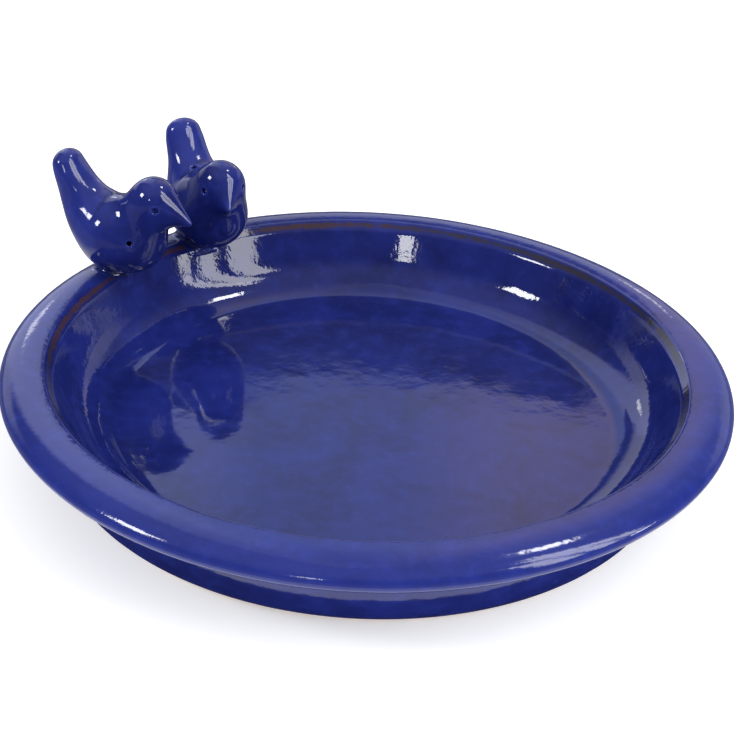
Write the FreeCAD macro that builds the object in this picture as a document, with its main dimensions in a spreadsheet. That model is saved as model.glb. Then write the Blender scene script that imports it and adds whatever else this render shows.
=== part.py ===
import FreeCAD, Part
import math
import os
import Sketcher

# Bird bath: a glazed ceramic dish with two small birds luted to its rim.
# Millimetres, +Z up. The origin is the centre of the foot, on the ground.
# The dish is turned about Z. Each bird has its own frame: its origin is the spot on the rim where
# the bird sits, its X runs forward to the beak, its Y to the bird's left and its Z up.

Vector = FreeCAD.Vector
Rotation = FreeCAD.Rotation
Constraint = Sketcher.Constraint

# ---------------------------------------------------------------- sizes ----

DISH_SIZES = {
    "dish_diameter": 312.0,     # over the rim roll
    "dish_height": 44.0,        # ground to the top of the rim roll
    "floor_height": 14.1,       # ground to the inside floor
    "cove_radius": 24.0,        # between the floor and the inside wall
    "inner_wall_angle": 65.0,   # from horizontal, degrees
    "outer_wall_angle": 72.5,
    "foot_corner_radius": 12.0,
    "foot_ring_width": 11.0,
    "foot_recess_depth": 4.5,
    "foot_recess_slope": 4.0,
    "roll_width": 28.4,         # the coil that forms the rim
    "roll_thickness": 13.6,
    "lip_share": 0.676,         # of the roll's width, from its outside in to the lip's face
    "lip_drop": 1.3,            # top of the rim to the top of the lip
    "lip_width": 0.8,
    "lip_bevel_width": 2.4,     # sloping band inside the lip
    "lip_bevel_height": 2.7,
    "shoulder_width": 4.1,      # ledge of the wall that carries the roll
    "shoulder_drop": 12.6,      # top of the rim to the ledge
}

# Stations along a bird's spine, from the tip of the breast to the tip of the tail:
# forward of the perch, above the perch, and half the width there.
BIRD_STATIONS = {
    "breast_tip": (27.0, 16.0, 3.0),
    "breast": (23.0, 16.5, 10.5),
    "chest": (14.0, 17.0, 17.0),
    "belly": (3.0, 19.0, 19.0),
    "rump": (-8.0, 25.5, 15.6),
    "tail_root": (-15.0, 34.0, 11.5),
    "tail_middle": (-19.0, 42.0, 9.2),
    "tail_end": (-22.0, 48.8, 7.8),
    "tail_tip": (-23.6, 53.0, 4.0),
}

BIRD_SIZES = {
    "body_flatness": 0.95,      # a station's height as a share of its width
    "head_radius": 11.5,
    "beak_tip_radius": 1.3,
    "eye_radius": 1.2,
    "eye_turn": 59.4,           # of an eye to each side of the beak, about the head's Z, degrees
    "eye_rise": 12.0,           # of an eye above the beak
    "cavity_length": 26.0,      # the hollow in a body
    "cavity_width": 24.0,
    "cavity_height": 23.0,
    "cavity_forward": 4.0,
    "cavity_up": 18.5,
    "vent_radius": 1.0,         # lets the hollow breathe in the kiln
    "vent_length": 24.0,
    "belly_gap": 0.6,           # top of the rim to the flat pressed on a belly
    "press_radius": 20.0,       # the flat board that a belly is pressed on
    "press_thickness": 8.0,
    "saddle_radius": 8.5,       # pad of clay between belly and rim, at its base
    "saddle_top_radius": 6.0,
    "saddle_depth": 5.0,        # how far the pad starts below the top of the rim
    "saddle_height": 9.0,
}

# How each bird sits, and how it holds its head.
LEFT_BIRD = {
    "azimuth": 150.0,           # of the perch, about Z from +X, degrees
    "perch_inset": 0.8,         # inwards from the middle of the roll
    "sink": 0.6,                # of the round belly's lowest point, below the top of the rim
    "heading": -22.0,           # of the bird's X, about Z from +X
    "head_forward": 23.5,
    "head_up": 38.0,
    "head_turn": 0.0,
    "beak_droop": 21.0,
    "beak_reach": 20.8,         # head's centre to the beak's tip
    "vent_turn": -44.0,         # of the vent, about Z from the bird's X
    "vent_rise": 9.0,           # of the vent above horizontal
}
RIGHT_BIRD = {
    "azimuth": 127.4,
    "perch_inset": 3.3,
    "sink": 2.0,
    "heading": -58.0,
    "head_forward": 20.0,
    "head_up": 36.0,
    "head_turn": -12.0,
    "beak_droop": 22.0,
    "beak_reach": 18.5,
    "vent_turn": -149.0,
    "vent_rise": 70.0,
}

doc = FreeCAD.newDocument("bird_bath")
sheet = doc.addObject("Spreadsheet::Sheet", "Sizes")


def fill_sheet():
    """Write every driving size into the sheet, one row each."""
    rows = dict(DISH_SIZES)
    rows.update(BIRD_SIZES)
    for station, (forward, up, half_width) in BIRD_STATIONS.items():
        rows[station + "_forward"] = forward
        rows[station + "_up"] = up
        rows[station + "_half_width"] = half_width
    for bird, pose in (("left_bird", LEFT_BIRD), ("right_bird", RIGHT_BIRD)):
        for key, value in pose.items():
            rows[bird + "_" + key] = value
    for row, (alias, value) in enumerate(rows.items(), start=1):
        sheet.set("A%d" % row, alias)
        sheet.set("B%d" % row, str(value))
        sheet.setAlias("B%d" % row, alias)
    doc.recompute()


def size(alias):
    """The number in a cell, for a first guess that a constraint then holds."""
    return float(sheet.get(alias))


def bind(item, **expressions):
    """Bind properties to expressions; a double underscore stands for a dot."""
    for name, expression in expressions.items():
        item.setExpression(name.replace("__", "."), expression)


def origin_plane(body, role):
    """One of a body's own origin planes."""
    return next(plane for plane in body.Origin.OriginFeatures if plane.Role == role)


def add_sketch(body, name, role):
    sketch = body.newObject("Sketcher::SketchObject", name)
    sketch.AttachmentSupport = (origin_plane(body, role), [""])
    sketch.MapMode = "FlatFace"
    return sketch


def hold(sketch, name, constraint, expression):
    """Add a named dimension to a sketch and bind it to the sheet."""
    sketch.addConstraint(constraint)
    sketch.renameConstraint(sketch.ConstraintCount - 1, name)
    sketch.setExpression("Constraints." + name, expression)


def add_line(sketch, start, end):
    return sketch.addGeometry(Part.LineSegment(Vector(*start, 0), Vector(*end, 0)), False)


def add_arc(sketch, centre, radius, first_degrees, last_degrees):
    circle = Part.Circle(Vector(*centre, 0), Vector(0, 0, 1), radius)
    arc = Part.ArcOfCircle(circle, math.radians(first_degrees), math.radians(last_degrees))
    return sketch.addGeometry(arc, False)


def cut(name, base, *tools):
    """Cut each tool from the base in turn; the last cut is returned."""
    result = base
    for number, tool in enumerate(tools, start=1):
        step = doc.addObject("Part::Cut", "%s_cut_%d" % (name, number))
        step.Base = result
        step.Tool = tool
        result = step
    return result


# ----------------------------------------------------------------- dish ----

def make_basin():
    """The thrown dish: floor, cove, wall, lip, shoulder, outer wall, foot ring and recess."""
    body = doc.addObject("PartDesign::Body", "basin_body")
    sketch = add_sketch(body, "basin_profile", "XZ_Plane")

    # A first guess at the outline, from the centre of the floor round to the recess.
    lip = size("dish_diameter") / 2 - size("roll_width") * size("lip_share")
    lip_top = size("dish_height") - size("lip_drop")
    ledge = size("dish_height") - size("shoulder_drop")
    floor = size("floor_height")
    cove = size("cove_radius")
    corner = size("foot_corner_radius")
    lean_in = math.radians(size("inner_wall_angle"))
    lean_out = math.radians(size("outer_wall_angle"))
    bevel_r = lip - size("lip_width") - size("lip_bevel_width")
    bevel_z = lip_top - size("lip_bevel_height")
    cove_top_z = floor + cove * (1 - math.cos(lean_in))
    cove_top_r = bevel_r - (bevel_z - cove_top_z) / math.tan(lean_in)
    floor_r = cove_top_r - cove * math.sin(lean_in)
    ledge_r = lip + size("shoulder_width")
    corner_top_z = corner * (1 - math.cos(lean_out))
    corner_top_r = ledge_r - (ledge - corner_top_z) / math.tan(lean_out)
    foot_r = corner_top_r - corner * math.sin(lean_out)
    ring_r = foot_r - size("foot_ring_width")
    recess_z = size("foot_recess_depth")
    recess_r = ring_r - size("foot_recess_slope")

    floor_line = add_line(sketch, (0, floor), (floor_r, floor))
    cove_arc = add_arc(sketch, (floor_r, floor + cove), cove, -90, size("inner_wall_angle") - 90)
    inner_wall = add_line(sketch, (cove_top_r, cove_top_z), (bevel_r, bevel_z))
    bevel = add_line(sketch, (bevel_r, bevel_z), (lip - size("lip_width"), lip_top))
    lip_line = add_line(sketch, (lip - size("lip_width"), lip_top), (lip, lip_top))
    lip_face = add_line(sketch, (lip, lip_top), (lip, ledge))
    ledge_line = add_line(sketch, (lip, ledge), (ledge_r, ledge))
    outer_wall = add_line(sketch, (ledge_r, ledge), (corner_top_r, corner_top_z))
    corner_arc = add_arc(sketch, (foot_r, corner), corner, -90, size("outer_wall_angle") - 90)
    foot_line = add_line(sketch, (foot_r, 0), (ring_r, 0))
    slope = add_line(sketch, (ring_r, 0), (recess_r, recess_z))
    recess_line = add_line(sketch, (recess_r, recess_z), (0, recess_z))
    axis_line = add_line(sketch, (0, recess_z), (0, floor))

    START, END = 1, 2
    sketch.addConstraint([
        Constraint("Tangent", floor_line, END, cove_arc, START),
        Constraint("Tangent", cove_arc, END, inner_wall, START),
        Constraint("Coincident", inner_wall, END, bevel, START),
        Constraint("Coincident", bevel, END, lip_line, START),
        Constraint("Coincident", lip_line, END, lip_face, START),
        Constraint("Coincident", lip_face, END, ledge_line, START),
        Constraint("Coincident", ledge_line, END, outer_wall, START),
        Constraint("Tangent", outer_wall, END, corner_arc, END),
        Constraint("Tangent", corner_arc, START, foot_line, START),
        Constraint("Coincident", foot_line, END, slope, START),
        Constraint("Coincident", slope, END, recess_line, START),
        Constraint("Coincident", recess_line, END, axis_line, START),
        Constraint("Coincident", axis_line, END, floor_line, START),
        Constraint("Horizontal", floor_line),
        Constraint("Horizontal", lip_line),
        Constraint("Vertical", lip_face),
        Constraint("Horizontal", ledge_line),
        Constraint("Horizontal", recess_line),
        Constraint("PointOnObject", floor_line, START, -2),
        Constraint("PointOnObject", recess_line, END, -2),
        Constraint("PointOnObject", foot_line, START, -1),
        Constraint("PointOnObject", foot_line, END, -1),
    ])
    hold(sketch, "lip_radius", Constraint("DistanceX", lip_line, END, lip),
         "Sizes.dish_diameter / 2 - Sizes.roll_width * Sizes.lip_share")
    hold(sketch, "lip_height", Constraint("DistanceY", lip_line, END, lip_top),
         "Sizes.dish_height - Sizes.lip_drop")
    hold(sketch, "lip_width", Constraint("DistanceX", lip_line, START, lip_line, END, size("lip_width")),
         "Sizes.lip_width")
    hold(sketch, "bevel_width", Constraint("DistanceX", bevel, START, bevel, END, size("lip_bevel_width")),
         "Sizes.lip_bevel_width")
    hold(sketch, "bevel_height", Constraint("DistanceY", bevel, START, bevel, END, size("lip_bevel_height")),
         "Sizes.lip_bevel_height")
    hold(sketch, "inner_angle", Constraint("Angle", inner_wall, lean_in),
         "Sizes.inner_wall_angle * 1 deg")
    hold(sketch, "cove", Constraint("Radius", cove_arc, cove),
         "Sizes.cove_radius")
    hold(sketch, "floor_height", Constraint("DistanceY", floor_line, START, floor),
         "Sizes.floor_height")
    hold(sketch, "ledge_width", Constraint("DistanceX", ledge_line, START, ledge_line, END,
                                           size("shoulder_width")),
         "Sizes.shoulder_width")
    hold(sketch, "ledge_height", Constraint("DistanceY", ledge_line, START, ledge),
         "Sizes.dish_height - Sizes.shoulder_drop")
    hold(sketch, "outer_angle", Constraint("Angle", outer_wall, lean_out - math.pi),
         "Sizes.outer_wall_angle * 1 deg - 180 deg")
    hold(sketch, "foot_corner", Constraint("Radius", corner_arc, corner),
         "Sizes.foot_corner_radius")
    hold(sketch, "ring_width", Constraint("DistanceX", foot_line, END, foot_line, START,
                                          size("foot_ring_width")),
         "Sizes.foot_ring_width")
    hold(sketch, "recess_slope", Constraint("DistanceX", slope, END, slope, START,
                                            size("foot_recess_slope")),
         "Sizes.foot_recess_slope")
    hold(sketch, "recess_depth", Constraint("DistanceY", recess_line, START, recess_z),
         "Sizes.foot_recess_depth")

    turned = body.newObject("PartDesign::Revolution", "basin_turned")
    turned.Profile = sketch
    turned.ReferenceAxis = (sketch, ["V_Axis"])
    turned.Angle = 360.0
    body.Label = "basin"
    return body


def make_roll_coil():
    """The whole coil of the rim, before it is fitted over the lip."""
    section = doc.addObject("Part::Ellipse", "roll_section")
    bind(section,
         MajorRadius="Sizes.roll_width / 2",
         MinorRadius="Sizes.roll_thickness / 2",
         Placement="placement(vector(Sizes.dish_diameter / 2 - Sizes.roll_width / 2; 0;"
                   " Sizes.dish_height - Sizes.roll_thickness / 2); rotation(vector(1; 0; 0); 90))")
    coil = doc.addObject("Part::Revolution", "roll_coil")
    coil.Source = section
    coil.Axis = Vector(0, 0, 1)
    coil.Angle = 360.0
    coil.Solid = True
    return coil


def make_rim_roll(coil, basin):
    """The coil pressed over the lip and down on the shoulder."""
    rim = cut("rim_roll", coil, basin)
    rim.Label = "rim_roll"
    return rim


# ---------------------------------------------------------------- birds ----

def bird_frame(bird):
    """The placement of a bird's own frame, as an expression."""
    radius = "(Sizes.dish_diameter / 2 - Sizes.roll_width / 2 - Sizes.%s_perch_inset)" % bird
    return ("placement(vector({r} * cos(Sizes.{b}_azimuth); {r} * sin(Sizes.{b}_azimuth);"
            " Sizes.dish_height - Sizes.{b}_sink);"
            " rotation(vector(0; 0; 1); Sizes.{b}_heading))").format(r=radius, b=bird)


def make_station(bird, stations, number):
    """One cross-section of a bird's body, square to the spine."""
    here = stations[number]
    before = stations[max(number - 1, 0)]
    after = stations[min(number + 1, len(stations) - 1)]
    section = doc.addObject("Part::Ellipse", "%s_%s" % (bird, here))
    spine = ("atan2(Sizes.{b}_up - Sizes.{a}_up; Sizes.{b}_forward - Sizes.{a}_forward)"
             ).format(b=before, a=after)
    bind(section,
         MajorRadius="Sizes.%s_half_width" % here,
         MinorRadius="Sizes.%s_half_width * Sizes.body_flatness" % here,
         Placement="placement(vector(Sizes.{s}_forward; 0; Sizes.{s}_up);"
                   " rotation(vector(0; 1; 0); 90 deg - {t}) * rotation(vector(0; 0; 1); 90))"
                   .format(s=here, t=spine))
    return section


def make_bird_form(bird):
    """The outside of a bird's body and tail, in one sweep through its stations."""
    stations = list(BIRD_STATIONS)
    form = doc.addObject("Part::Loft", bird + "_form")
    form.Sections = [make_station(bird, stations, number) for number in range(len(stations))]
    form.Solid = True
    form.Ruled = False
    bind(form, Placement=bird_frame(bird))
    return form


def make_hollow(bird):
    """The hollow in a bird's body."""
    hollow = doc.addObject("Part::Ellipsoid", bird + "_hollow")
    bind(hollow,
         Radius1="Sizes.cavity_height / 2",
         Radius2="Sizes.cavity_length / 2",
         Radius3="Sizes.cavity_width / 2",
         Placement=bird_frame(bird) + " * placement(vector(Sizes.cavity_forward; 0; Sizes.cavity_up);"
                                      " rotation(vector(0; 0; 1); 0))")
    return hollow


def make_vent(bird):
    """The pin hole from the middle of the hollow to the open air."""
    vent = doc.addObject("Part::Cylinder", bird + "_vent")
    bind(vent,
         Radius="Sizes.vent_radius",
         Height="Sizes.vent_length",
         Placement=bird_frame(bird) + " * placement(vector(Sizes.cavity_forward; 0; Sizes.cavity_up);"
                                      " rotation(vector(0; 0; 1); Sizes.{b}_vent_turn)"
                                      " * rotation(vector(0; 1; 0); 90 - Sizes.{b}_vent_rise))"
                                      .format(b=bird))
    return vent


def make_press(bird):
    """What flattens the underside of a belly, just above the rim."""
    press = doc.addObject("Part::Cylinder", bird + "_press")
    bind(press,
         Radius="Sizes.press_radius",
         Height="Sizes.press_thickness",
         Placement=bird_frame(bird) + " * placement(vector(0; 0; Sizes.{b}_sink + Sizes.belly_gap"
                                      " - Sizes.press_thickness); rotation(vector(0; 0; 1); 0))"
                                      .format(b=bird))
    return press


def make_bird_body(bird, form):
    """A bird's hollow body, with its belly flattened for the rim."""
    body = cut(bird + "_body", form, make_hollow(bird), make_vent(bird), make_press(bird))
    body.Label = bird + "_body"
    return body


def head_frame(bird):
    """The placement of a head's own frame: its X runs out to the beak."""
    return bird_frame(bird) + (" * placement(vector(Sizes.{b}_head_forward; 0; Sizes.{b}_head_up);"
                               " rotation(vector(0; 0; 1); Sizes.{b}_head_turn)"
                               " * rotation(vector(0; 1; 0); Sizes.{b}_beak_droop))"
                               ).format(b=bird)


def make_head_form(bird):
    """A ball drawn out to a beak, turned about the beak's own axis."""
    body = doc.addObject("PartDesign::Body", bird + "_head_form")
    sketch = add_sketch(body, bird + "_head_profile", "XZ_Plane")
    radius = size("head_radius")
    tip = size("beak_tip_radius")
    reach = size(bird + "_beak_reach")
    span = reach - tip
    turn = math.degrees(math.acos((radius - tip) / span))
    ball = add_arc(sketch, (0, 0), radius, turn, 180)
    point = add_arc(sketch, (span, 0), tip, 0, turn)
    cosine = math.cos(math.radians(turn))
    sine = math.sin(math.radians(turn))
    side = add_line(sketch, (radius * cosine, radius * sine), (span + tip * cosine, tip * sine))
    base = add_line(sketch, (-radius, 0), (reach, 0))
    START, END, CENTRE = 1, 2, 3
    sketch.addConstraint([
        Constraint("Coincident", ball, CENTRE, -1, 1),
        Constraint("PointOnObject", point, CENTRE, -1),
        Constraint("Tangent", ball, START, side, START),
        Constraint("Tangent", side, END, point, END),
        Constraint("Coincident", ball, END, base, START),
        Constraint("Coincident", point, START, base, END),
        Constraint("PointOnObject", base, START, -1),
        Constraint("PointOnObject", base, END, -1),
    ])
    hold(sketch, "ball_radius", Constraint("Radius", ball, radius), "Sizes.head_radius")
    hold(sketch, "tip_radius", Constraint("Radius", point, tip), "Sizes.beak_tip_radius")
    hold(sketch, "reach", Constraint("DistanceX", base, END, reach), "Sizes.%s_beak_reach" % bird)
    turned = body.newObject("PartDesign::Revolution", bird + "_head_turned")
    turned.Profile = sketch
    turned.ReferenceAxis = (sketch, ["H_Axis"])
    turned.Angle = 360.0
    bind(body, Placement=head_frame(bird))
    return body


def make_eye(bird, side_name, side):
    """A round pocket pricked in one side of the head, centred on its surface."""
    eye = doc.addObject("Part::Sphere", "%s_%s_eye" % (bird, side_name))
    bind(eye,
         Radius="Sizes.eye_radius",
         Placement=head_frame(bird) + " * placement(vector(0; 0; 0);"
                                      " rotation(vector(0; 0; 1); Sizes.eye_turn * {s})"
                                      " * rotation(vector(0; 1; 0); -Sizes.eye_rise))"
                                      " * placement(vector(Sizes.head_radius; 0; 0);"
                                      " rotation(vector(0; 0; 1); 0))".format(s=side))
    return eye


def make_bird_head(bird, form):
    """A head with its beak and eyes, fitted to the outside of the body."""
    left_eye = make_eye(bird, "left", 1)
    right_eye = make_eye(bird, "right", -1)
    head = cut(bird + "_head", make_head_form(bird), form, left_eye, right_eye)
    head.Label = bird + "_head"
    return head


def make_saddle(bird, body, coil, basin):
    """The pad of clay that beds a bird's belly on the rim."""
    pad = doc.addObject("Part::Cone", bird + "_pad")
    radius = "(Sizes.dish_diameter / 2 - Sizes.roll_width / 2)"
    bind(pad,
         Radius1="Sizes.saddle_radius",
         Radius2="Sizes.saddle_top_radius",
         Height="Sizes.saddle_height",
         Placement="placement(vector({r} * cos(Sizes.{b}_azimuth); {r} * sin(Sizes.{b}_azimuth);"
                   " Sizes.dish_height - Sizes.saddle_depth); rotation(vector(0; 0; 1); 0))"
                   .format(r=radius, b=bird))
    saddle = cut(bird + "_saddle", pad, body, coil, basin)
    saddle.Label = bird + "_saddle"
    return saddle


# --------------------------------------------------------------- output ----

def check_state():
    """Stop if any object of the document failed to build."""
    for item in doc.Objects:
        if "Invalid" in item.State or "Error" in item.State:
            raise RuntimeError("%s: %s" % (item.Name, item.State))


def write_steps(pieces):
    """Check each piece, then write it to a STEP file named by its label."""
    for piece in pieces:
        shape = piece.Shape
        if shape.isNull() or not shape.isValid() or len(shape.Solids) != 1:
            raise RuntimeError("%s is not one valid solid" % piece.Label)
    os.makedirs("parts", exist_ok=True)
    for piece in pieces:
        piece.Shape.exportStep(os.path.join("parts", piece.Label + ".step"))
        box = piece.Shape.BoundBox
        print("%-18s volume %9.0f mm3  x %7.1f %7.1f  y %7.1f %7.1f  z %6.1f %6.1f" % (
            piece.Label, piece.Shape.Volume, box.XMin, box.XMax, box.YMin, box.YMax, box.ZMin, box.ZMax))


def main():
    fill_sheet()
    basin = make_basin()
    coil = make_roll_coil()
    pieces = [basin, make_rim_roll(coil, basin)]
    for bird in ("left_bird", "right_bird"):
        form = make_bird_form(bird)
        body = make_bird_body(bird, form)
        pieces.append(body)
        pieces.append(make_bird_head(bird, form))
        pieces.append(make_saddle(bird, body, coil, basin))
    doc.recompute()
    check_state()
    write_steps(pieces)


main()
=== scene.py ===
"""Studio scene of the glazed bird bath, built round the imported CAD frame.

Sizes are written in millimetres and turned into metres where a mesh is made.
Azimuths of lights are measured from +Y towards +X, as seen from above.
"""
import math

import bmesh
import bpy
import numpy as np
from mathutils import Matrix, Vector, noise


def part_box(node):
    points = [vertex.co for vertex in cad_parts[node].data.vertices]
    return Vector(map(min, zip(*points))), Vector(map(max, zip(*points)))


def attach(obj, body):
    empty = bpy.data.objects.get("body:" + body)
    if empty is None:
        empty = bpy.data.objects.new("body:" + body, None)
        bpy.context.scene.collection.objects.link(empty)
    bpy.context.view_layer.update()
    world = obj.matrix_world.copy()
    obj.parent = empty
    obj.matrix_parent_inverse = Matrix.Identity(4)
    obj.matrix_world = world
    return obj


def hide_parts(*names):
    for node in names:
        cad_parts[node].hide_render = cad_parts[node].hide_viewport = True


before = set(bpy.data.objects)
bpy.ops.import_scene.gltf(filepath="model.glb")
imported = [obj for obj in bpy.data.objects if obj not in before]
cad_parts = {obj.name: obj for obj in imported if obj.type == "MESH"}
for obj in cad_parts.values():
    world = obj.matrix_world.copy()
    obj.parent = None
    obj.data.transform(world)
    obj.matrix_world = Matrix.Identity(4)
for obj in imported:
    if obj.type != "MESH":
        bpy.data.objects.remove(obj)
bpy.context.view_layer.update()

MM = 0.001
RIM_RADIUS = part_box("rim_roll")[1][0] / MM
RIM_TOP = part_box("rim_roll")[1][2] / MM

# The dish, as in the CAD.
FLOOR_HEIGHT = 14.1
FLOOR_RADIUS = 106.2
COVE_RADIUS = 24.0
WALL_ANGLE = 65.0
BEVEL_FOOT = (133.6, 40.0)
BEVEL_TOP = (136.0, 42.7)
LIP_LOW = 36.0              # everything above this height belongs to the lip and the rim
BREAK_MIDDLE = 0.72         # where on the bevel the glaze breaks to brown, as a share of its width
BREAK_SPREAD = 0.42
ROLL_HALF_WIDTH = 14.2
ROLL_HALF_HEIGHT = 6.8
ROLL_CENTRE = (RIM_RADIUS - ROLL_HALF_WIDTH, RIM_TOP - ROLL_HALF_HEIGHT)
SEAM_RADIUS = 136.8
CREST_FLATNESS = 0.35       # share of the roll's fall towards the lip left after it was wiped level
SHOULDER = (140.9, 31.4)
OUTER_WALL_FOOT = (133.64, 8.39)
FOOT_CORNER_CENTRE = (122.2, 12.0)
FOOT_CORNER_RADIUS = 12.0
FOOT_RING_INNER = 111.2
RECESS_RADIUS = 107.2
RECESS_HEIGHT = 4.5

# The birds: stations down the spine of the body, as forward, up and half the depth there.
BODY_STATIONS = (
    (28.0, 16.0, 3.0), (23.8, 16.5, 10.2), (14.0, 17.0, 16.2), (3.4, 18.8, 17.8), (-7.4, 25.4, 14.2),
    (-14.4, 34.0, 10.3), (-18.7, 42.0, 7.9), (-21.6, 49.0, 6.4),
)
BODY_SQUEEZE = 0.95     # of a station's depth to its width
TAIL_SQUEEZE = 0.75
HEAD_RADIUS = 11.5
BEAK_TIP_RADIUS = 1.3
EYE_PLACE = (5.8, 9.8, 2.4)     # from the head's centre: forward, to each side, up
EYE_RADIUS = 1.35
EYE_DEPTH = 2.0
HOLLOW_CENTRE = (4.0, 0.0, 18.5)
VENT_RADIUS = 1.2
VENT_FLOOR = 11.0               # from the hollow's centre to the dark end of the vent
PAD_DEPTH = 5.0                 # how far the pad starts below the top of the rim
PAD_HEIGHT = 12.0
PAD_TAPER = 0.28
# Each perch, and the pad under it as azimuth and radius. Vents are turn and rise in degrees.
BIRDS = {
    "left_bird": dict(azimuth=150.0, inset=0.8, sink=0.6, heading=-22.0, head=(23.5, 38.0), turn=0.0,
                      droop=21.0, reach=20.8, vent=(-44.0, 9.0), pad=(150.0, 8.0)),
    "right_bird": dict(azimuth=127.4, inset=3.3, sink=2.0, heading=-58.0, head=(20.0, 36.0), turn=-12.0,
                       droop=22.0, reach=18.5, vent=(-149.0, 70.0), pad=(128.8, 9.8)),
}


# ---------------------------------------------------------------- small tools

def turn_z(degrees):
    """A 3x3 numpy rotation about Z."""
    return np.array(Matrix.Rotation(math.radians(degrees), 3, "Z"))


def turn_y(degrees):
    """A 3x3 numpy rotation about Y."""
    return np.array(Matrix.Rotation(math.radians(degrees), 3, "Y"))


def smooth_min(a, b, reach):
    """The smaller of two distance fields, rounded where they come within reach of each other."""
    overlap = np.maximum(reach - np.abs(a - b), 0.0) / reach
    return np.minimum(a, b) - overlap * overlap * reach * 0.25


def wave(x, y, z, size, seed=0.0):
    """Smooth noise from -1 to 1 with features about size millimetres across."""
    return noise.noise(Vector((x / size + seed, y / size - seed, z / size + 2.0 * seed)))


def add_piece(name, mesh, nodes):
    """Puts a finished mesh in the scene as the piece that stands for these CAD nodes."""
    piece = bpy.data.objects.new(name, mesh)
    bpy.context.scene.collection.objects.link(piece)
    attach(piece, "root")
    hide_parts(*nodes)
    return piece


# ---------------------------------------------------------------- the dish

def arc(centre, radius, first, last, count):
    """Points on a circle in the (radius, height) plane, angles in degrees."""
    angles = np.radians(np.linspace(first, last, count))
    return [(centre[0] + radius * math.cos(a), centre[1] + radius * math.sin(a)) for a in angles]


def dish_outline():
    """The whole visible outline of the dish, from the middle of the floor to the middle underneath."""
    cove_centre = (FLOOR_RADIUS, FLOOR_HEIGHT + COVE_RADIUS)
    seam = math.acos((SEAM_RADIUS - ROLL_CENTRE[0]) / ROLL_HALF_WIDTH)
    low = -math.acos((SHOULDER[0] - ROLL_CENTRE[0]) / ROLL_HALF_WIDTH)
    outline = [(0.0, FLOOR_HEIGHT)]
    outline += arc(cove_centre, COVE_RADIUS, -90.0, WALL_ANGLE - 90.0, 24)
    outline += [BEVEL_FOOT, BEVEL_TOP]
    for a in np.linspace(seam, low, 60):
        drop = ROLL_HALF_HEIGHT * (1.0 - math.sin(a))
        if math.cos(a) < 0.0 and a > 0.0:
            drop *= CREST_FLATNESS
        outline.append((ROLL_CENTRE[0] + ROLL_HALF_WIDTH * math.cos(a), RIM_TOP - drop))
    outline += [OUTER_WALL_FOOT]
    outline += arc(FOOT_CORNER_CENTRE, FOOT_CORNER_RADIUS, -17.0, -90.0, 16)
    outline += [(FOOT_RING_INNER, 0.0), (RECESS_RADIUS, RECESS_HEIGHT), (0.0, RECESS_HEIGHT)]
    return np.array(outline)


def resample(points, step):
    """The same line with points an even step apart."""
    lengths = np.concatenate([[0.0], np.cumsum(np.linalg.norm(np.diff(points, axis=0), axis=1))])
    places = np.linspace(0.0, lengths[-1], int(lengths[-1] / step) + 1)
    return np.stack([np.interp(places, lengths, points[:, i]) for i in (0, 1)], axis=1)


def rounded(points, spread):
    """The line with its corners softened, as a thick glaze softens them. Ends stay where they are."""
    reach = int(4 * spread)
    kernel = np.exp(-0.5 * (np.arange(-reach, reach + 1) / spread) ** 2)
    kernel /= kernel.sum()
    soft = np.empty_like(points)
    for i in (0, 1):
        column = points[:, i]
        before = 2 * column[0] - column[reach:0:-1]
        after = 2 * column[-1] - column[-2:-reach - 2:-1]
        padded = np.concatenate([before, column, after])
        soft[:, i] = np.convolve(padded, kernel, mode="valid")
    return soft


OUTLINE_STEP = 0.25
GLAZE_ROUNDING = 0.55
OUTLINE = rounded(resample(dish_outline(), OUTLINE_STEP), GLAZE_ROUNDING / OUTLINE_STEP)


def dish_warp(azimuth):
    """How far the hand-turned dish is out of true at an azimuth in radians: outward and upward, in mm."""
    outward = 0.22 * np.sin(2 * azimuth + 0.7) + 0.12 * np.sin(3 * azimuth + 2.1) - 0.36
    upward = 0.22 * np.sin(2 * azimuth + 2.6) + 0.13 * np.sin(5 * azimuth + 0.4) - 0.36
    return outward, upward


def ring_rows(outline, spacing):
    """Which of the fine outline's points become rings of the mesh: closer together where it curves."""
    heading = np.unwrap(np.arctan2(*np.gradient(outline, axis=0).T[::-1]))
    bend = np.abs(np.gradient(heading))
    step = np.linalg.norm(np.gradient(outline, axis=0), axis=1)
    cost = np.cumsum(step / spacing + bend / math.radians(7.0))
    wanted = np.linspace(cost[0], cost[-1], int(cost[-1] - cost[0]) + 2)
    return np.unique(np.searchsorted(cost, wanted).clip(0, len(outline) - 1))


SEGMENTS = 480


def skin_height(x, y, z):
    """How far the fired glaze skin stands off the turned form at a point, in mm: a soft orange peel."""
    broad = wave(x, y, z, 30.0, 3.1)
    peel = wave(x, y, z, 9.0, 7.7)
    calm = min(math.hypot(x, y) / 16.0, 1.0)
    return calm * (0.05 * broad + 0.022 * peel)


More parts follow.
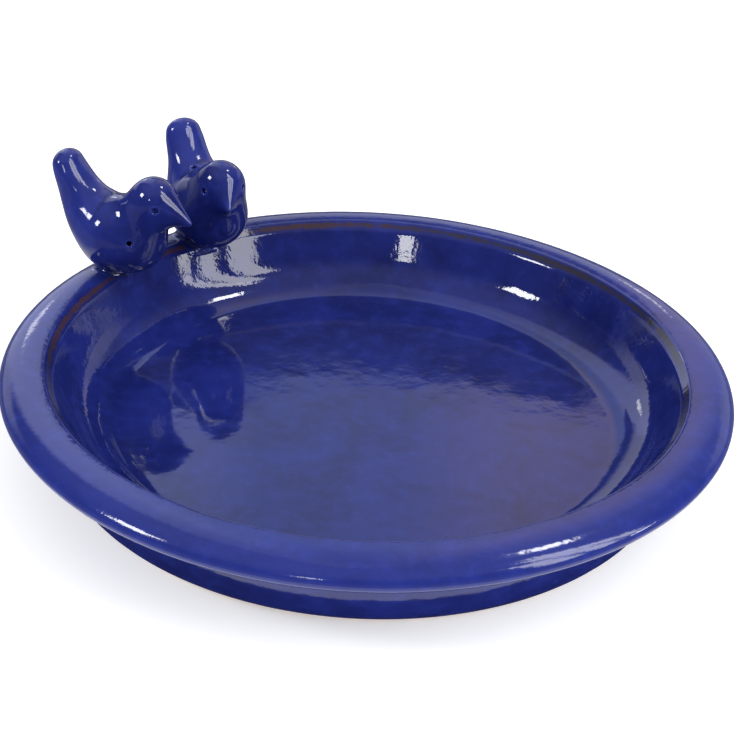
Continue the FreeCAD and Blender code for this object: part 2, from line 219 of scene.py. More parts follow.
def lathe(name, points, normals, closed):
    """A turned mesh with a ring at each (radius, height) point.

    A point with no normal is hidden inside the clay. The rings where hidden meets shown are sharp.
    """
    angles = np.arange(SEGMENTS) * (2 * math.pi / SEGMENTS)
    outward, upward = dish_warp(angles)
    bm = bmesh.new()
    break_layer = bm.verts.layers.float.new("glaze_break")
    rings = []
    for (radius, height), (nr, nz) in zip(points, normals):
        if radius < 0.01:
            rings.append([bm.verts.new((0.0, 0.0, height * MM))])
            continue
        grow = min(max((height - 3.0) / 30.0, 0.0), 1.0) * min(radius / FLOOR_RADIUS, 1.0) ** 2
        skin = min(max(height - 1.0, 0.0) / 3.0, 1.0)
        if height < 6.0 and radius < RECESS_RADIUS:
            skin = 0.0
        ring = []
        for a, out, up in zip(angles, outward, upward):
            r = radius + out * grow
            z = height + up * grow
            lift = skin * skin_height(r * math.cos(a), r * math.sin(a), z)
            r += lift * nr
            z += lift * nz
            vert = bm.verts.new((r * math.cos(a) * MM, r * math.sin(a) * MM, z * MM))
            vert[break_layer] = lip_break(radius, height)
            ring.append(vert)
        rings.append(ring)
    shown = [abs(nr) + abs(nz) > 0.0 for nr, nz in normals]
    pairs = list(zip(range(len(rings) - 1), range(1, len(rings))))
    if closed:
        pairs.append((len(rings) - 1, 0))
    for first, second in pairs:
        a, b = rings[first], rings[second]
        for i in range(SEGMENTS):
            j = (i + 1) % SEGMENTS
            if len(a) == 1:
                bm.faces.new((a[0], b[i], b[j])).smooth = True
            elif len(b) == 1:
                bm.faces.new((a[i], b[0], a[j])).smooth = True
            else:
                bm.faces.new((a[i], b[i], b[j], a[j])).smooth = True
        if shown[first] != shown[second]:
            edge_ring = a if shown[first] else b
            for i in range(SEGMENTS):
                bm.edges.get((edge_ring[i], edge_ring[(i + 1) % SEGMENTS])).smooth = False
    bmesh.ops.recalc_face_normals(bm, faces=bm.faces)
    mesh = bpy.data.meshes.new(name)
    bm.to_mesh(mesh)
    bm.free()
    return mesh


def lip_break(radius, height):
    """1 along the upper part of the lip's bevel, fading to each side."""
    if height < LIP_LOW:
        return 0.0
    along = (radius - BEVEL_FOOT[0]) / (BEVEL_TOP[0] - BEVEL_FOOT[0])
    return float(np.clip(1.5 - abs(along - BREAK_MIDDLE) / BREAK_SPREAD, 0.0, 1.0))


def outline_normals(outline):
    """The unit normal out of the clay at each point of the outline."""
    travel = np.gradient(outline, axis=0)
    travel /= np.linalg.norm(travel, axis=1)[:, None]
    return np.stack([-travel[:, 1], travel[:, 0]], axis=1)


def make_dish(material):
    """The basin and the rim coil, which meet at the lip and at the shoulder."""
    normals = outline_normals(OUTLINE)
    upper = OUTLINE[:, 1] > LIP_LOW
    crest = int(np.argmin(np.abs(OUTLINE[:, 0] - SEAM_RADIUS) + ~upper * 1000.0))
    after = np.arange(len(OUTLINE)) > crest
    shoulder = int(np.argmin(np.linalg.norm(OUTLINE - np.array(SHOULDER), axis=1) + ~after * 1000.0))
    bowl = ring_rows(OUTLINE[:crest + 1], 1.6)
    roll = ring_rows(OUTLINE[crest:shoulder + 1], 0.9) + crest
    under = ring_rows(OUTLINE[shoulder:], 2.5) + shoulder
    face = np.array([(SEAM_RADIUS, RIM_TOP - 3.0), (SEAM_RADIUS, SHOULDER[1] + 2.0)])
    hidden = np.zeros_like(face)

    points = np.concatenate([OUTLINE[bowl], face, OUTLINE[under]])
    out_of_clay = np.concatenate([normals[bowl], hidden, normals[under]])
    mesh = lathe("glazed_basin", points, out_of_clay, closed=False)
    mesh.materials.append(material)
    add_piece(mesh.name, mesh, ["basin"])

    points = np.concatenate([OUTLINE[roll], face[::-1]])
    out_of_clay = np.concatenate([normals[roll], hidden])
    mesh = lathe("glazed_rim_roll", points, out_of_clay, closed=True)
    mesh.materials.append(material)
    add_piece(mesh.name, mesh, ["rim_roll"])


# ---------------------------------------------------------------- the birds

NECK_BLEND = 13.0       # how widely the neck is smoothed into the back and breast
GRID_STEP = 0.5
GRID_LOW = np.array([-33.0, -23.0, -9.0])
GRID_HIGH = np.array([49.0, 23.0, 62.0])


def sphere_chain(points, radii, count):
    """Spheres whose union is a smooth tube with these radii along these points.

    Each sphere is moved along the line and swollen so that it touches the tube where it should.
    """
    points = np.array(points, float)
    radii = np.array(radii, float)
    lengths = np.concatenate([[0.0], np.cumsum(np.linalg.norm(np.diff(points, axis=0), axis=1))])
    places = np.linspace(0.0, lengths[-1], count)
    line = np.stack([spline(places, lengths, points[:, i]) for i in range(points.shape[1])], axis=1)
    radius = spline(places, lengths, radii)
    slope = np.gradient(radius, places)
    shifted = np.clip(places + radius * slope, 0.0, lengths[-1])
    centres = np.stack([np.interp(shifted, places, line[:, i]) for i in range(points.shape[1])], axis=1)
    spans = np.linalg.norm(centres - line, axis=1)
    return centres, np.sqrt(radius * radius + spans * spans) * np.sign(radius)


def spline(at, knots, values):
    """A smooth curve through the values, never overshooting between two of them."""
    step = np.diff(knots)
    slope = np.diff(values) / step
    tangent = np.zeros_like(values)
    tangent[1:-1] = np.where(slope[:-1] * slope[1:] > 0,
                             2 * slope[:-1] * slope[1:] / (slope[:-1] + slope[1:] + 1e-12), 0.0)
    tangent[0], tangent[-1] = slope[0], slope[-1]
    i = np.clip(np.searchsorted(knots, at) - 1, 0, len(step) - 1)
    t = (at - knots[i]) / step[i]
    return ((1 + 2 * t) * (1 - t) ** 2 * values[i] + t * (1 - t) ** 2 * step[i] * tangent[i]
            + t * t * (3 - 2 * t) * values[i + 1] + t * t * (t - 1) * step[i] * tangent[i + 1])


def chain_distance(p, centres, radii):
    """Distance from points to a union of spheres."""
    best = np.full(p.shape[:-1], 1e6, np.float32)
    for centre, radius in zip(centres, radii):
        d = p - centre.astype(np.float32)
        best = np.minimum(best, np.sqrt(np.einsum("...i,...i->...", d, d)) - np.float32(radius))
    return best


def outline_distance(radius, height):
    """Distance from points in the (radius, height) plane to the dish's outline, negative inside the clay."""
    rim = OUTLINE[(OUTLINE[:, 0] > 95.0) & (OUTLINE[:, 1] > 12.0)][::2]
    low = (104.0, 22.0)
    step = 0.25
    across = np.arange(low[0], 172.0, step)
    upward = np.arange(low[1], 74.0, step)
    gr, gz = np.meshgrid(across, upward, indexing="ij")
    best = np.full(gr.shape, 1e6)
    sign = np.ones(gr.shape)
    direction = np.gradient(rim, axis=0)
    for (r, z), (dr, dz) in zip(rim, direction):
        d = np.hypot(gr - r, gz - z)
        side = np.where((gr - r) * -dz + (gz - z) * dr >= 0.0, 1.0, -1.0)
        nearer = d < best
        best = np.where(nearer, d, best)
        sign = np.where(nearer, side, sign)
    table = best * sign
    i = np.clip((radius - low[0]) / step, 0, len(across) - 1.001)
    j = np.clip((height - low[1]) / step, 0, len(upward) - 1.001)
    i0, j0 = i.astype(int), j.astype(int)
    fi, fj = i - i0, j - j0
    return (table[i0, j0] * (1 - fi) * (1 - fj) + table[i0 + 1, j0] * fi * (1 - fj)
            + table[i0, j0 + 1] * (1 - fi) * fj + table[i0 + 1, j0 + 1] * fi * fj)


def bird_origin(bird):
    """Where the bird's own frame sits in the dish's frame, in mm, and its rotation."""
    a = math.radians(bird["azimuth"])
    r = ROLL_CENTRE[0] - bird["inset"]
    return np.array([r * math.cos(a), r * math.sin(a), RIM_TOP - bird["sink"]]), turn_z(bird["heading"])


def head_axes(bird):
    """The head's centre and rotation in the bird's frame."""
    return np.array([bird["head"][0], 0.0, bird["head"][1]]), turn_z(bird["turn"]) @ turn_y(bird["droop"])


def body_field(p):
    """The body and tail in the bird's frame."""
    share = np.clip((p[..., 2] - 33.0) / 14.0, 0.0, 1.0)
    squeeze = BODY_SQUEEZE + (TAIL_SQUEEZE - BODY_SQUEEZE) * share * share * (3.0 - 2.0 * share)
    squashed = np.stack([p[..., 0], p[..., 1] * squeeze, p[..., 2]], axis=-1)
    stations = np.array(BODY_STATIONS)
    spine = np.stack([stations[:, 0], np.zeros(len(stations)), stations[:, 1]], axis=1)
    centres, radii = sphere_chain(spine, stations[:, 2], 90)
    return chain_distance(squashed, centres, radii)


def head_field(p, bird):
    """The head in the bird's frame: a ball drawn out in a straight taper to the beak's tip."""
    centre, turn = head_axes(bird)
    q = (p - centre.astype(np.float32)) @ turn.astype(np.float32)
    along = q[..., 0]
    pinch = np.clip(along / bird["reach"], 0.0, 1.0)
    across = np.hypot(q[..., 1] * (1.0 + 0.16 * pinch), q[..., 2])
    span = bird["reach"] - BEAK_TIP_RADIUS
    lean = (HEAD_RADIUS - BEAK_TIP_RADIUS) / span
    side = math.sqrt(1.0 - lean * lean)
    place = along * side - across * lean
    ball = np.hypot(along, across) - HEAD_RADIUS
    tip = np.hypot(along - span, across) - BEAK_TIP_RADIUS
    taper = across * side + along * lean - HEAD_RADIUS
    return np.where(place < 0.0, ball, np.where(place > side * span, tip, taper))


def foot_field(p, world, bird):
    """The pad of clay that beds the bird on the rim coil."""
    place, foot_radius = bird["pad"]
    a = math.radians(place)
    off_x = world[..., 0] - ROLL_CENTRE[0] * math.cos(a)
    off_y = world[..., 1] - ROLL_CENTRE[0] * math.sin(a)
    height = world[..., 2] - (RIM_TOP - PAD_DEPTH)
    taper = foot_radius - PAD_TAPER * height
    return np.maximum(np.hypot(off_x, off_y) - taper, np.maximum(-height, height - PAD_HEIGHT))


def dimple_field(p, bird):
    """The two eyes, poked in with a stick, and the vent hole of the hollow body."""
    centre, turn = head_axes(bird)
    q = (p - centre.astype(np.float32)) @ turn.astype(np.float32)
    found = np.full(p.shape[:-1], 1e6, np.float32)
    for side in (-1.0, 1.0):
        eye = np.array([EYE_PLACE[0], side * EYE_PLACE[1], EYE_PLACE[2]])
        inward = eye / np.linalg.norm(eye)
        along = q @ inward.astype(np.float32)
        off = np.linalg.norm(q - along[..., None] * inward.astype(np.float32), axis=-1)
        found = np.minimum(found, np.maximum(off - EYE_RADIUS, HEAD_RADIUS - EYE_DEPTH - along))
    turn_about, rise = (math.radians(v) for v in bird["vent"])
    level = math.cos(rise)
    out = np.array([level * math.cos(turn_about), level * math.sin(turn_about), math.sin(rise)])
    d = p - np.array(HOLLOW_CENTRE, np.float32)
    along = d @ out.astype(np.float32)
    off = np.linalg.norm(d - along[..., None] * out.astype(np.float32), axis=-1)
    return np.minimum(found, np.maximum(off - VENT_RADIUS, VENT_FLOOR - along))


def bird_field(bird):
    """The distance field of one bird on its pad, blended into the rim, on a grid in the bird's frame."""
    counts = np.round((GRID_HIGH - GRID_LOW) / GRID_STEP).astype(int) + 1
    axes = [GRID_LOW[i] + GRID_STEP * np.arange(counts[i]) for i in range(3)]
    p = np.stack(np.meshgrid(*axes, indexing="ij"), axis=-1).astype(np.float32)
    origin, turn = bird_origin(bird)
    world = p @ turn.T.astype(np.float32) + origin.astype(np.float32)
    field = smooth_min(body_field(p), head_field(p, bird), NECK_BLEND)
    field = smooth_min(field, foot_field(p, world, bird), 3.0)
    outward, upward = dish_warp(np.arctan2(world[..., 1], world[..., 0]))
    rim = outline_distance(np.hypot(world[..., 0], world[..., 1]) - outward, world[..., 2] - upward)
    merged = smooth_min(field, rim, 3.2)
    field = np.maximum(merged + 0.06, np.maximum(-(rim + 1.2), field - 4.0))
    dimples = dimple_field(p, bird)
    return np.maximum(field, -dimples).astype(np.float32)


def surface_net(field):
    """A quad mesh of the field's zero surface: points in grid units, and faces."""
    inside = field < 0.0
    shape = tuple(n - 1 for n in field.shape)
    total = np.zeros(shape + (3,))
    hits = np.zeros(shape)
    for axis in range(3):
        others = [i for i in range(3) if i != axis]
        low = [slice(None)] * 3
        high = [slice(None)] * 3
        low[axis], high[axis] = slice(None, -1), slice(1, None)
        a, b = field[tuple(low)], field[tuple(high)]
        crossing = inside[tuple(low)] != inside[tuple(high)]
        share = np.where(crossing, a / np.where(crossing, a - b, 1.0), 0.0)
        for first in (0, 1):
            for second in (0, 1):
                part = [slice(None)] * 3
                part[others[0]] = slice(first, first + shape[others[0]])
                part[others[1]] = slice(second, second + shape[others[1]])
                here = crossing[tuple(part)]
                hits += here
                total[..., axis] += share[tuple(part)]
                total[..., others[0]] += first * here
                total[..., others[1]] += second * here
    used = hits > 0
    number = np.full(shape, -1)
    number[used] = np.arange(used.sum())
    points = np.argwhere(used) + total[used] / hits[used][:, None]
    faces = []
    for axis in range(3):
        others = [(axis + 1) % 3, (axis + 2) % 3]
        low = [slice(1, -1)] * 3
        low[axis] = slice(None, -1)
        high = [slice(1, -1)] * 3
        high[axis] = slice(1, None)
        first, second = inside[tuple(low)], inside[tuple(high)]
        for into, flip in ((first & ~second, False), (~first & second, True)):
            cells = np.argwhere(into)
            cells[:, others[0]] += 1
            cells[:, others[1]] += 1
            corners = []
            for back_first, back_second in ((1, 1), (0, 1), (0, 0), (1, 0)):
                cell = cells.copy()
                cell[:, others[0]] -= back_first
                cell[:, others[1]] -= back_second
                corners.append(number[tuple(cell.T)])
            quads = np.stack(corners[::-1] if flip else corners, axis=1)
            faces.append(quads)
    return points, np.concatenate(faces)


def sample(field, points):
    """The field's value at points given in grid units."""
    base = np.clip(np.floor(points).astype(int), 0, np.array(field.shape) - 2)
    f = points - base
    value = 0.0
    for corner in np.ndindex(2, 2, 2):
        weight = np.prod(np.where(np.array(corner) == 1, f, 1.0 - f), axis=1)
        value = value + weight * field[tuple((base + np.array(corner)).T)]
    return value


def settle(points, field, rounds):
    """Moves surface points onto the field's zero surface."""
    slopes = np.gradient(field, GRID_STEP)
    for _ in range(rounds):
        slope = np.stack([sample(s, points) for s in slopes], axis=1)
        value = sample(field, points)
        size = np.maximum((slope * slope).sum(axis=1), 0.2)
        points = points - np.clip(value / size, -0.3, 0.3)[:, None] * slope / GRID_STEP
    return points


def drop_islands(bm):
    """Removes every shell but the largest: the specks that the distance fields leave inside the rim."""
    left = set(bm.verts)
    shells = []
    while left:
        shell = []
        front = [left.pop()]
        while front:
            vert = front.pop()
            shell.append(vert)
            for edge in vert.link_edges:
                other = edge.other_vert(vert)
                if other in left:
                    left.remove(other)
                    front.append(other)
        shells.append(shell)
    shells.sort(key=len)
    for shell in shells[:-1]:
        bmesh.ops.delete(bm, geom=shell, context="VERTS")


def cut_mesh(name, source, planes):
    """A closed copy of source, cut off at each plane, which is a point and an outward normal."""
    bm = source.copy()
    for point, normal in planes:
        geometry = bm.verts[:] + bm.edges[:] + bm.faces[:]
        found = bmesh.ops.bisect_plane(
            bm, geom=geometry, dist=1e-7, plane_co=point, plane_no=normal, clear_outer=True)
        rim = [e for e in found["geom_cut"] if isinstance(e, bmesh.types.BMEdge)]
        caps = bmesh.ops.triangle_fill(bm, edges=rim, use_beauty=True, normal=normal)
        for edge in rim:
            if edge.is_valid:
                edge.smooth = False
        for face in caps["geom"]:
            if isinstance(face, bmesh.types.BMFace):
                face.smooth = False
    bmesh.ops.recalc_face_normals(bm, faces=bm.faces)
    mesh = bpy.data.meshes.new(name)
    bm.to_mesh(mesh)
    bm.free()
    return mesh


SADDLE_CUT = 46.0                   # height of the cut between body and pad
CHEST_CENTRE = (6.0, 0.0, 18.5)
NECK_SHARE = 0.56                   # where the neck's cut lies, from the chest's centre to the head's


def make_bird(name, bird, material):
    """One bird as three pieces: body with its tail, head, and the pad under it."""
    field = bird_field(bird)
    points, faces = surface_net(field)
    points = settle(points, field, 3)
    slopes = np.gradient(field, GRID_STEP)
    bend = sum(np.gradient(s, GRID_STEP, axis=i) for i, s in enumerate(slopes))
    curvature = sample(bend, points)
    origin, turn = bird_origin(bird)
    local = points * GRID_STEP + GRID_LOW
    world = local @ turn.T + origin
    bm = bmesh.new()
    layer = bm.verts.layers.float.new("bend")
    verts = []
    for position, value in zip(world, curvature):
        vert = bm.verts.new(position * MM)
        vert[layer] = value
        verts.append(vert)
    for a, b, c, d in faces:
        face = bm.faces.new((verts[a], verts[b], verts[c], verts[d]))
        face.smooth = True
    for _ in range(2):
        bmesh.ops.smooth_vert(
            bm, verts=bm.verts, factor=0.35, use_axis_x=True, use_axis_y=True, use_axis_z=True)
    drop_islands(bm)
    centre = np.array(CHEST_CENTRE)
    head, _ = head_axes(bird)
    toward = (head - centre) / np.linalg.norm(head - centre)
    neck_point = Vector((turn @ (centre + (head - centre) * NECK_SHARE) + origin) * MM)
    neck_normal = Vector(turn @ toward)
    waist = Vector((0.0, 0.0, SADDLE_CUT * MM))
    up = Vector((0.0, 0.0, 1.0))
    shapes = {
        "body": [(neck_point, neck_normal), (waist, -up)],
        "head": [(neck_point, -neck_normal)],
        "saddle": [(waist, up)],
    }
    for part, planes in shapes.items():
        mesh = cut_mesh("glazed_%s_%s" % (name, part), bm, planes)
        mesh.materials.append(material)
        add_piece(mesh.name, mesh, ["%s_%s" % (name, part)])
    bm.free()


# ---------------------------------------------------------------- glaze

class Nodes:
    """A short way to write a node tree."""

    def __init__(self, tree):
        self.tree = tree
        tree.nodes.clear()

    def add(self, kind, inputs=None, **settings):
        """A node with its settings, and its inputs set or linked by name or number."""
        node = self.tree.nodes.new(kind)
        for key, value in settings.items():
            setattr(node, key, value)
        for key, value in (inputs or {}).items():
            if isinstance(value, bpy.types.NodeSocket):
                self.tree.links.new(value, node.inputs[key])
            else:
                node.inputs[key].default_value = value
        return node

    def noise(self, at, size, detail=3.0, roughness=0.55, distortion=0.0):
        """A noise value from 0 to 1 with features about size millimetres across."""
        settings = {"Detail": detail, "Roughness": roughness, "Distortion": distortion}
        node = self.add("ShaderNodeTexNoise", {"Vector": at, "Scale": 1.0 / (size * MM), **settings})
        return node.outputs["Fac"]

    def ramp(self, value, low, high, to_low=0.0, to_high=1.0):
        """The value's range low..high mapped smoothly to to_low..to_high."""
        limits = {"From Min": low, "From Max": high, "To Min": to_low, "To Max": to_high}
        node = self.add("ShaderNodeMapRange", {"Value": value, **limits}, interpolation_type="SMOOTHSTEP")
        return node.outputs["Result"]

    def math(self, operation, a, b=0.0, clamp=False):
        """A math node."""
        return self.add("ShaderNodeMath", {0: a, 1: b}, operation=operation, use_clamp=clamp).outputs[0]

    def mix(self, share, a, b):
        """Colour a to colour b."""
        node = self.add("ShaderNodeMix", {"Factor": share}, data_type="RGBA")
        for socket, value in ((node.inputs[6], a), (node.inputs[7], b)):
            if isinstance(value, bpy.types.NodeSocket):
                self.tree.links.new(value, socket)
            else:
                socket.default_value = (*value, 1.0)
        return node.outputs[2]


def new_material(name):
    """An empty material and its node tree."""
    material = bpy.data.materials.new(name)
    material.use_nodes = True
    return material, Nodes(material.node_tree)


DEEP_COBALT = (0.0078, 0.0125, 0.100)
COBALT = (0.0115, 0.0190, 0.155)
LIGHT_COBALT = (0.0200, 0.0340, 0.250)
IRON_BROWN = (0.052, 0.024, 0.022)
GREY_BROWN = (0.026, 0.022, 0.026)
BARE_CLAY = (0.42, 0.22, 0.13)


def glaze_material(name, bird):
    """Cobalt glaze over brown clay: cloudy, breaking to brown on the lip, bare on the foot. Outside the lip
    it is paled by a painted reflection, and its pinholes hold painted shade.
    """
    material, n = new_material(name)
    at = n.add("ShaderNodeTexCoord").outputs["Object"]
    split = n.add("ShaderNodeSeparateXYZ", {"Vector": at})
    height = split.outputs["Z"]
    level = n.add("ShaderNodeCombineXYZ", {"X": split.outputs["X"], "Y": split.outputs["Y"]}).outputs[0]
    radius = n.add("ShaderNodeVectorMath", {0: level}, operation="LENGTH").outputs["Value"]

    cloud = n.noise(at, 34.0, detail=4.0, distortion=0.6)
    mottle = n.noise(at, 7.0, detail=4.0, roughness=0.6)
    speck = n.noise(at, 1.6, detail=2.0)
    colour = n.mix(n.ramp(cloud, 0.36, 0.66), DEEP_COBALT, COBALT)
    # Painted reflection: outside the lip, on the outer part of the rim and on the outer wall, the glaze
    # colour is made paler to stand for the pale floor mirrored there. The same mask also makes the glaze
    # there a little rougher.
    outside = n.ramp(n.math("ADD", radius, n.math("MULTIPLY", cloud, 0.004)), 0.1350, 0.1450)
    pale_spots = n.ramp(mottle, 0.42, 0.78, 0.0, 0.40)
    mottle_and_painted_reflection = n.math("ADD", pale_spots, n.math("MULTIPLY", outside, 0.45), clamp=True)
    colour = n.mix(mottle_and_painted_reflection, colour, LIGHT_COBALT)
    colour = n.mix(n.ramp(speck, 0.62, 0.74, 0.0, 0.35), colour, DEEP_COBALT)

    # Pinholes: each is a small pit in the bump relief, and its near-black colour is painted shade in the
    # pit.
    holes = n.add("ShaderNodeTexVoronoi", {"Vector": at, "Scale": 1.0 / (13.0 * MM)})
    chosen = n.ramp(holes.outputs["Color"], 0.80, 0.82)
    pinhole_pit_and_shade = n.math("MULTIPLY", n.ramp(holes.outputs["Distance"], 0.02, 0.045, 1.0, 0.0), chosen)
    colour = n.mix(n.math("MULTIPLY", pinhole_pit_and_shade, 0.9), colour, (0.004, 0.004, 0.006))

    glaze_edge = n.math("ADD", height, n.math("MULTIPLY", n.noise(at, 9.0), 0.0016))
    bare = n.ramp(glaze_edge, 0.0016, 0.0024, 1.0, 0.0)
    if bird:
        bend = n.add("ShaderNodeAttribute", attribute_name="bend").outputs["Fac"]
        thin = n.math("MULTIPLY", n.ramp(bend, 0.16, 0.5), n.ramp(mottle, 0.35, 0.65, 0.15, 0.75))
        colour = n.mix(thin, colour, LIGHT_COBALT)
        pooled = n.ramp(bend, -0.12, 0.02, 0.8, 0.0)
        colour = n.mix(pooled, colour, DEEP_COBALT)
    else:
        lip = n.add("ShaderNodeAttribute", attribute_name="glaze_break").outputs["Fac"]
        ragged = n.math("MULTIPLY", n.math("SUBTRACT", n.noise(at, 4.0, detail=4.0), 0.5), 1.3)
        fading = n.math("MULTIPLY", n.math("SUBTRACT", n.noise(at, 26.0, detail=2.0), 0.5), 1.2)
        broken = n.ramp(n.math("ADD", lip, n.math("ADD", ragged, fading)), 0.40, 1.00)
        side = n.math("SUBTRACT", split.outputs["Y"], split.outputs["X"])
        redder = n.ramp(n.math("ADD", side, n.math("MULTIPLY", n.noise(at, 40.0), 0.05)), 0.10, 0.20)
        tone = n.mix(redder, GREY_BROWN, IRON_BROWN)
        colour = n.mix(n.math("MULTIPLY", broken, 0.85), colour, tone)
    clay = n.mix(n.noise(at, 3.0, detail=6.0), BARE_CLAY, (0.30, 0.14, 0.085))
    colour = n.mix(bare, colour, clay)

    rough = n.ramp(n.noise(at, 18.0, detail=3.0), 0.35, 0.70, 0.045, 0.080)
    rough = n.math("ADD", rough, n.math("MULTIPLY", outside, 0.045))
    rough = n.add("ShaderNodeMix", {"Factor": bare, 2: rough, 3: 0.85}, data_type="FLOAT").outputs[0]

    ripple = n.noise(at, 5.0, detail=1.0)
    fine = n.noise(at, 1.8, detail=1.0)
    grain = n.math("MULTIPLY", n.noise(at, 0.5, detail=3.0), n.math("MULTIPLY", bare, 0.4))
    lively = n.ramp(height, 0.0150, 0.0200, 0.15, 0.55)
    relief = n.math("ADD", n.math("ADD", ripple, n.math("MULTIPLY", fine, lively)), grain)
    relief = n.math("MULTIPLY", relief, n.ramp(height, 0.0150, 0.0200, 0.45, 1.0))
    relief = n.math("SUBTRACT", relief, n.math("MULTIPLY", pinhole_pit_and_shade, 0.8))
    bump = n.add("ShaderNodeBump", {"Height": relief, "Strength": 1.0, "Distance": 0.00006})

    looks = {"Base Color": colour, "Roughness": rough, "Normal": bump.outputs[0], "IOR": 1.55}
    shader = n.add("ShaderNodeBsdfPrincipled", looks)
    n.add("ShaderNodeOutputMaterial", {"Surface": shader.outputs[0]})
    return material


# ---------------------------------------------------------------- studio

AIM = Vector((0.0, 0.0, 0.0427))


def make_camera():
    """The photograph's camera: a long lens, 29 degrees above the horizon."""
    camera = bpy.data.objects.new("camera", bpy.data.cameras.new("camera"))
    bpy.context.scene.collection.objects.link(camera)
    camera.data.lens = 78.26
    camera.data.sensor_width = 36.0
    camera.data.clip_start = 0.01
    camera.data.clip_end = 60.0
    camera.location = (0.0, -0.59992, 0.37792)
    tilt = Matrix.Rotation(math.radians(60.325), 3, "X")
    roll = Matrix.Rotation(math.radians(2.975), 3, "Z")
    camera.rotation_euler = (tilt @ roll).to_euler()
    bpy.context.scene.camera = camera


def toward(azimuth, elevation):
    """The unit direction at this azimuth and elevation, in degrees."""
    a = math.radians(azimuth)
    e = math.radians(elevation)
    return Vector((math.sin(a) * math.cos(e), math.cos(a) * math.cos(e), math.sin(e)))


def add_to_studio(name, bm, material):
    """Puts a mesh in the scene that isn't part of the object."""
    mesh = bpy.data.meshes.new(name)
    bm.to_mesh(mesh)
    bm.free()
    mesh.materials.append(material)
    thing = bpy.data.objects.new(name, mesh)
    bpy.context.scene.collection.objects.link(thing)
    return thing


def show_only_in_reflections(thing):
    """Hides a thing from everything but the glaze's reflections."""
    thing.visible_camera = False
    thing.visible_diffuse = False
    thing.visible_shadow = False


def glow_material(name):
    """A material that only glows, in the colours of the mesh's own "glow" layer."""
    material, n = new_material(name)
    glow = n.add("ShaderNodeAttribute", attribute_name="glow").outputs["Color"]
    emission = n.add("ShaderNodeEmission", {"Color": glow, "Strength": 1.0})
    n.add("ShaderNodeOutputMaterial", {"Surface": emission.outputs[0]})
    return material


def panel(name, azimuth, elevation, distance, width, height, radiance):
    """A soft box facing the dish, hidden from the camera. Its power follows from its radiance."""
    light = bpy.data.lights.new(name, "AREA")
    light.shape = "RECTANGLE"
    light.size = width
    light.size_y = height
    light.energy = radiance * math.pi * width * height
    lamp = bpy.data.objects.new(name, light)
    bpy.context.scene.collection.objects.link(lamp)
    out = toward(azimuth, elevation)
    lamp.location = AIM + out * distance
    lamp.rotation_euler = out.to_track_quat("Z", "Y").to_euler()
    lamp.visible_camera = False


def make_lights():
    """The tall window on the right, and the small lamps round the dish."""
    panel("window_near", 99.0, 38.0, 1.6, 0.14, 1.42, 6.5)
    panel("window_middle", 109.0, 36.0, 1.6, 0.22, 1.29, 6.0)
    panel("window_far", 124.0, 30.5, 1.6, 0.31, 0.95, 6.0)
    panel("lamp_right", 99.0, 8.0, 1.6, 0.20, 0.12, 16.0)
    panel("lamp_left", -110.0, 35.0, 1.6, 0.34, 0.34, 20.0)
    panel("lamp_high_right", 55.0, 62.0, 1.6, 0.20, 0.18, 20.0)
    panel("lamp_star", -167.0, 27.0, 1.6, 0.15, 0.15, 12.0)
    panel("strip_back_right", 18.5, 15.5, 1.6, 0.11, 0.08, 3.0)
    panel("strip_back_left", -27.0, 20.0, 1.6, 0.15, 0.10, 4.0)


# The white card behind and over the dish, as azimuth and colour: cool on the left, warm on the right.
CARD_COLOURS = (
    (-40.0, (1.10, 1.12, 1.45)), (-14.0, (1.05, 1.12, 1.50)), (-6.0, (0.60, 0.70, 1.10)),
    (2.0, (0.62, 0.68, 0.95)), (9.0, (1.00, 0.86, 0.80)), (20.0, (0.80, 0.68, 0.74)),
    (34.0, (0.50, 0.50, 0.68)), (60.0, (0.42, 0.44, 0.60)),
)
# The card's lower edge, as azimuth and elevation: it hangs lowest at the two sides.
CARD_FOOT = (
    (-22.0, 1.0), (-14.0, 31.0), (-8.0, 30.4), (-5.0, 28.6), (6.0, 28.6), (12.0, 29.4), (20.0, 1.0),
)
CARD_FOOT_MIDDLE = 28.6
BACKDROP_RADIUS = 1.9


def step_up(value, start, end):
    """0 below start, 1 above end, smooth between."""
    share = min(max((value - start) / (end - start), 0.0), 1.0)
    return share * share * (3.0 - 2.0 * share)


def backdrop_glow(azimuth, elevation):
    """The colour of the surroundings that the glaze mirrors, by direction in degrees."""
    if elevation < 0.0:
        ground = 0.22 + 0.78 * (1.0 - step_up(elevation, -40.0, -22.0))
        return [ground, ground, ground]
    sky = 0.06 + 0.28 * step_up(elevation, 24.0, 62.0)
    stops = [stop[0] for stop in CARD_COLOURS]
    card = [np.interp(azimuth, stops, [stop[1][i] for stop in CARD_COLOURS]) for i in range(3)]
    across = step_up(azimuth, -44.0, -36.0) * (1.0 - 0.6 * step_up(azimuth, 30.0, 42.0))
    across *= 1.0 - step_up(azimuth, 52.0, 66.0)
    fade = 1.0 - 0.68 * step_up(elevation, 40.0, 72.0)
    foot = np.interp(azimuth, [stop[0] for stop in CARD_FOOT], [stop[1] for stop in CARD_FOOT])
    raised = step_up(elevation, foot - 0.3, foot + 0.3)
    share = across * fade * raised
    horizon = 0.75 * step_up(azimuth, -70.0, -50.0) * (1.0 - step_up(azimuth, 50.0, 70.0))
    horizon *= step_up(elevation, 2.0, 8.0) * (1.0 - step_up(elevation, 21.5, 24.5))
    return [(sky + horizon) * (1.0 - share) + card[i] * share for i in range(3)]


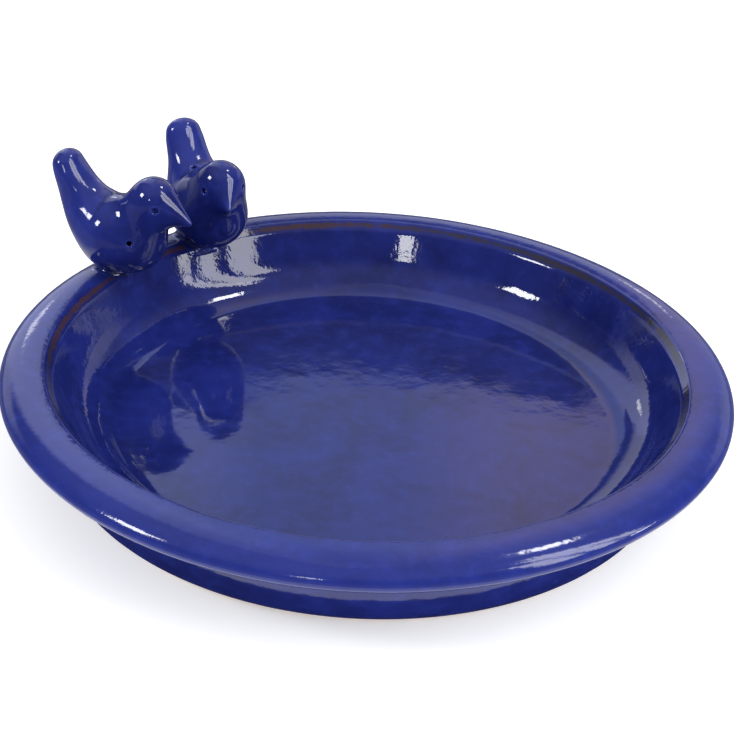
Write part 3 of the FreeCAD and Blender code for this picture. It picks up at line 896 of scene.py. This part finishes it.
def make_backdrop():
    """A ball round the dish that only reflections see: card, pale horizon, dim room and ground."""
    azimuths = np.arange(-180.0, 180.0, 2.0)
    near_foot = CARD_FOOT_MIDDLE + np.arange(-0.4, 2.9, 0.4)
    elevations = sorted(set(np.arange(-89.0, 90.0, 2.0)) | set(near_foot))
    bm = bmesh.new()
    layer = bm.verts.layers.float_color.new("glow")
    rows = []
    for elevation in elevations:
        row = []
        for azimuth in azimuths:
            vert = bm.verts.new(toward(azimuth, elevation) * BACKDROP_RADIUS + AIM)
            vert[layer] = (*backdrop_glow(azimuth, elevation), 1.0)
            row.append(vert)
        rows.append(row)
    for low, high in zip(rows[:-1], rows[1:]):
        for i in range(len(azimuths)):
            j = (i + 1) % len(azimuths)
            bm.faces.new((low[i], low[j], high[j], high[i]))
    show_only_in_reflections(add_to_studio("backdrop", bm, glow_material("backdrop_glow")))


FLOOR_LEVEL = -0.0001
FOOT_SHADE_HEIGHT = -0.00005
FOOT_SHADE_RADIUS = 0.141
FOOT_SHADE_COLOUR = (0.02, 0.02, 0.03)


def make_foot_shade():
    """A dark disc under the dish that only reflections see: the shade where it stands."""
    bm = bmesh.new()
    bmesh.ops.create_circle(bm, cap_ends=True, segments=96, radius=FOOT_SHADE_RADIUS)
    layer = bm.verts.layers.float_color.new("glow")
    for vert in bm.verts:
        vert.co.z = FOOT_SHADE_HEIGHT
        vert[layer] = (*FOOT_SHADE_COLOUR, 1.0)
    show_only_in_reflections(add_to_studio("foot_shade", bm, glow_material("foot_shade")))


def make_world():
    """Even white light all round, which the glaze does not mirror."""
    world = bpy.data.worlds.new("studio")
    bpy.context.scene.world = world
    world.use_nodes = True
    n = Nodes(world.node_tree)
    background = n.add("ShaderNodeBackground", {"Color": (1.0, 1.0, 1.0, 1.0), "Strength": 0.75})
    n.add("ShaderNodeOutputWorld", {"Surface": background.outputs[0]})
    world.cycles_visibility.glossy = False


def make_floor():
    """A pale floor, with faint mottling. The glaze mirrors the backdrop's ground in its place."""
    bm = bmesh.new()
    bmesh.ops.create_grid(bm, x_segments=8, y_segments=8, size=9.0)
    for vert in bm.verts:
        vert.co.z = FLOOR_LEVEL
    material, n = new_material("pale_floor")
    at = n.add("ShaderNodeTexCoord").outputs["Object"]
    tint = n.mix(n.noise(at, 180.0), (0.90, 0.90, 0.90), (0.94, 0.94, 0.94))
    glow = {"Emission Color": (1.0, 1.0, 1.0, 1.0), "Emission Strength": 0.35}
    shader = n.add("ShaderNodeBsdfPrincipled", {"Base Color": tint, "Roughness": 0.9, **glow})
    n.add("ShaderNodeOutputMaterial", {"Surface": shader.outputs[0]})
    add_to_studio("floor", bm, material).visible_glossy = False


make_camera()
make_world()
make_lights()
make_floor()
make_backdrop()
make_foot_shade()
dish_glaze = glaze_material("cobalt_glaze_dish", bird=False)
bird_glaze = glaze_material("cobalt_glaze_bird", bird=True)
make_dish(dish_glaze)
for bird_name, bird in BIRDS.items():
    make_bird(bird_name, bird, bird_glaze)

scene = bpy.context.scene
scene.view_settings.view_transform = "Standard"
scene.view_settings.look = "None"
